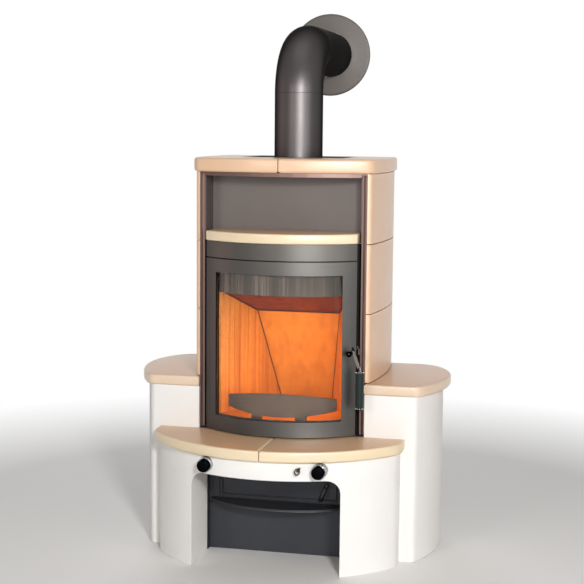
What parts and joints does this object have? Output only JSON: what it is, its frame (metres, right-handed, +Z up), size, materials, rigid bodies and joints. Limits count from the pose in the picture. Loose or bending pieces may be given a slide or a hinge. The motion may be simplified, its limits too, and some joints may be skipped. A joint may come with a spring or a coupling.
{
  "type": "tiled wood stove",
  "caption": "Freestanding tiled wood stove with a curved masonry bench, side wings, a niche over a curved glass door, air knobs, an ash drawer and a rear-bending flue pipe.",
  "frame": {"origin": "on the floor, below the upright flue pipe: middle of the width and depth at the underside", "axes": "+X to the right as seen from in front of the door, +Y to the wall behind the stove, +Z up along the upright flue pipe"},
  "size_m": [0.974, 0.96, 1.678],
  "materials": {
    "glazed_tile": "gloss",
    "glazed_slab": "gloss",
    "render_white": "smooth plastered and painted masonry",
    "firebrick_board": "matt porous firebrick board",
    "cast_iron": "rough",
    "ceramic_glass": "clear",
    "rope_seal": "woven rope",
    "pipe_steel": "satin",
    "rosette_grey": "matt",
    "grip_dark": "satin",
    "knob_black": "matt",
    "bright_steel": "brushed",
    "dark_steel": "satin metallic"
  },
  "bodies": {
    "stove": {"bench_body": "render_white", "bench_slab_left": "glazed_slab", "bench_slab_right": "glazed_slab", "wing_body_left": "render_white", "wing_slab_left": "glazed_slab", "wing_body_right": "render_white", "wing_slab_right": "glazed_slab", "tile_left_1": "glazed_tile", "tile_left_2": "glazed_tile", "tile_left_3": "glazed_tile", "tile_right_1": "glazed_tile", "tile_right_2": "glazed_tile", "tile_right_3": "glazed_tile", "top_plate_left": "glazed_tile", "top_plate_right": "glazed_tile", "top_insert": "dark_steel", "top_deck": "dark_steel", "outer_jacket": "dark_steel", "post_left": "dark_steel", "post_right": "dark_steel", "niche_liner": "dark_steel", "shelf_plate": "glazed_slab", "fascia_panel": "dark_steel", "base_plinth": "dark_steel", "base_carcass": "dark_steel", "base_ledge": "dark_steel", "firebox_body": "dark_steel", "firebox_cover": "dark_steel", "lining_left": "firebrick_board", "lining_right": "firebrick_board", "lining_back": "firebrick_board", "baffle_plate": "firebrick_board", "hearth_floor": "firebrick_board", "air_deflector": "dark_steel", "log_guard": "cast_iron", "hinge_bottom": "bright_steel", "hinge_top": "bright_steel", "latch_keeper": "bright_steel", "flue_pipe_upright": "pipe_steel", "flue_elbow": "pipe_steel", "flue_pipe_level": "pipe_steel", "wall_rosette": "rosette_grey", "air_collar_left": "bright_steel", "air_collar_right": "bright_steel"},
    "door": {"door_frame": "dark_steel", "door_glass": "ceramic_glass", "glass_retainer": "bright_steel", "door_gasket": "rope_seal"},
    "handle": {"latch_spindle": "bright_steel", "handle_lever": "bright_steel", "handle_grip": "grip_dark"},
    "ash_drawer": {"ash_drawer_front": "dark_steel", "ash_pan": "bright_steel"},
    "ash_lever": {"ash_lever": "dark_steel"},
    "air_left": {"air_knob_left": "knob_black", "air_valve_left": "bright_steel"},
    "air_right": {"air_knob_right": "knob_black", "air_valve_right": "bright_steel"},
    "shaker": {"shaker_rod": "dark_steel", "grate": "cast_iron"}
  },
  "joints": [
    {"name": "door_swing", "type": "hinge", "parent": "stove", "child": "door", "pos_m": [-0.221, -0.214, 0.6415], "axis": [0, 0, -1], "range_deg": [0, 90]},
    {"name": "handle_turn", "type": "hinge", "parent": "door", "child": "handle", "pos_m": [0.216, -0.24, 0.632], "axis": [0, -1, 0], "range_deg": [0, 60]},
    {"name": "drawer_slide", "type": "slide", "parent": "stove", "child": "ash_drawer", "axis": [0, -1, 0], "range_m": [0, 0.26]},
    {"name": "lever_turn", "type": "hinge", "parent": "ash_drawer", "child": "ash_lever", "pos_m": [0.132, -0.215, 0.178], "axis": [0, 1, 0], "range_deg": [0, 60]},
    {"name": "air_turn_left", "type": "hinge", "parent": "stove", "child": "air_left", "pos_m": [-0.169, -0.4, 0.32], "axis": [0, 1, 0], "range_deg": [0, 90]},
    {"name": "air_turn_right", "type": "hinge", "parent": "stove", "child": "air_right", "pos_m": [0.169, -0.4, 0.32], "axis": [0, 1, 0], "range_deg": [0, 90]},
    {"name": "shaker_slide", "type": "slide", "parent": "stove", "child": "shaker", "axis": [0, -1, 0], "range_m": [0, 0.02]}
  ]
}
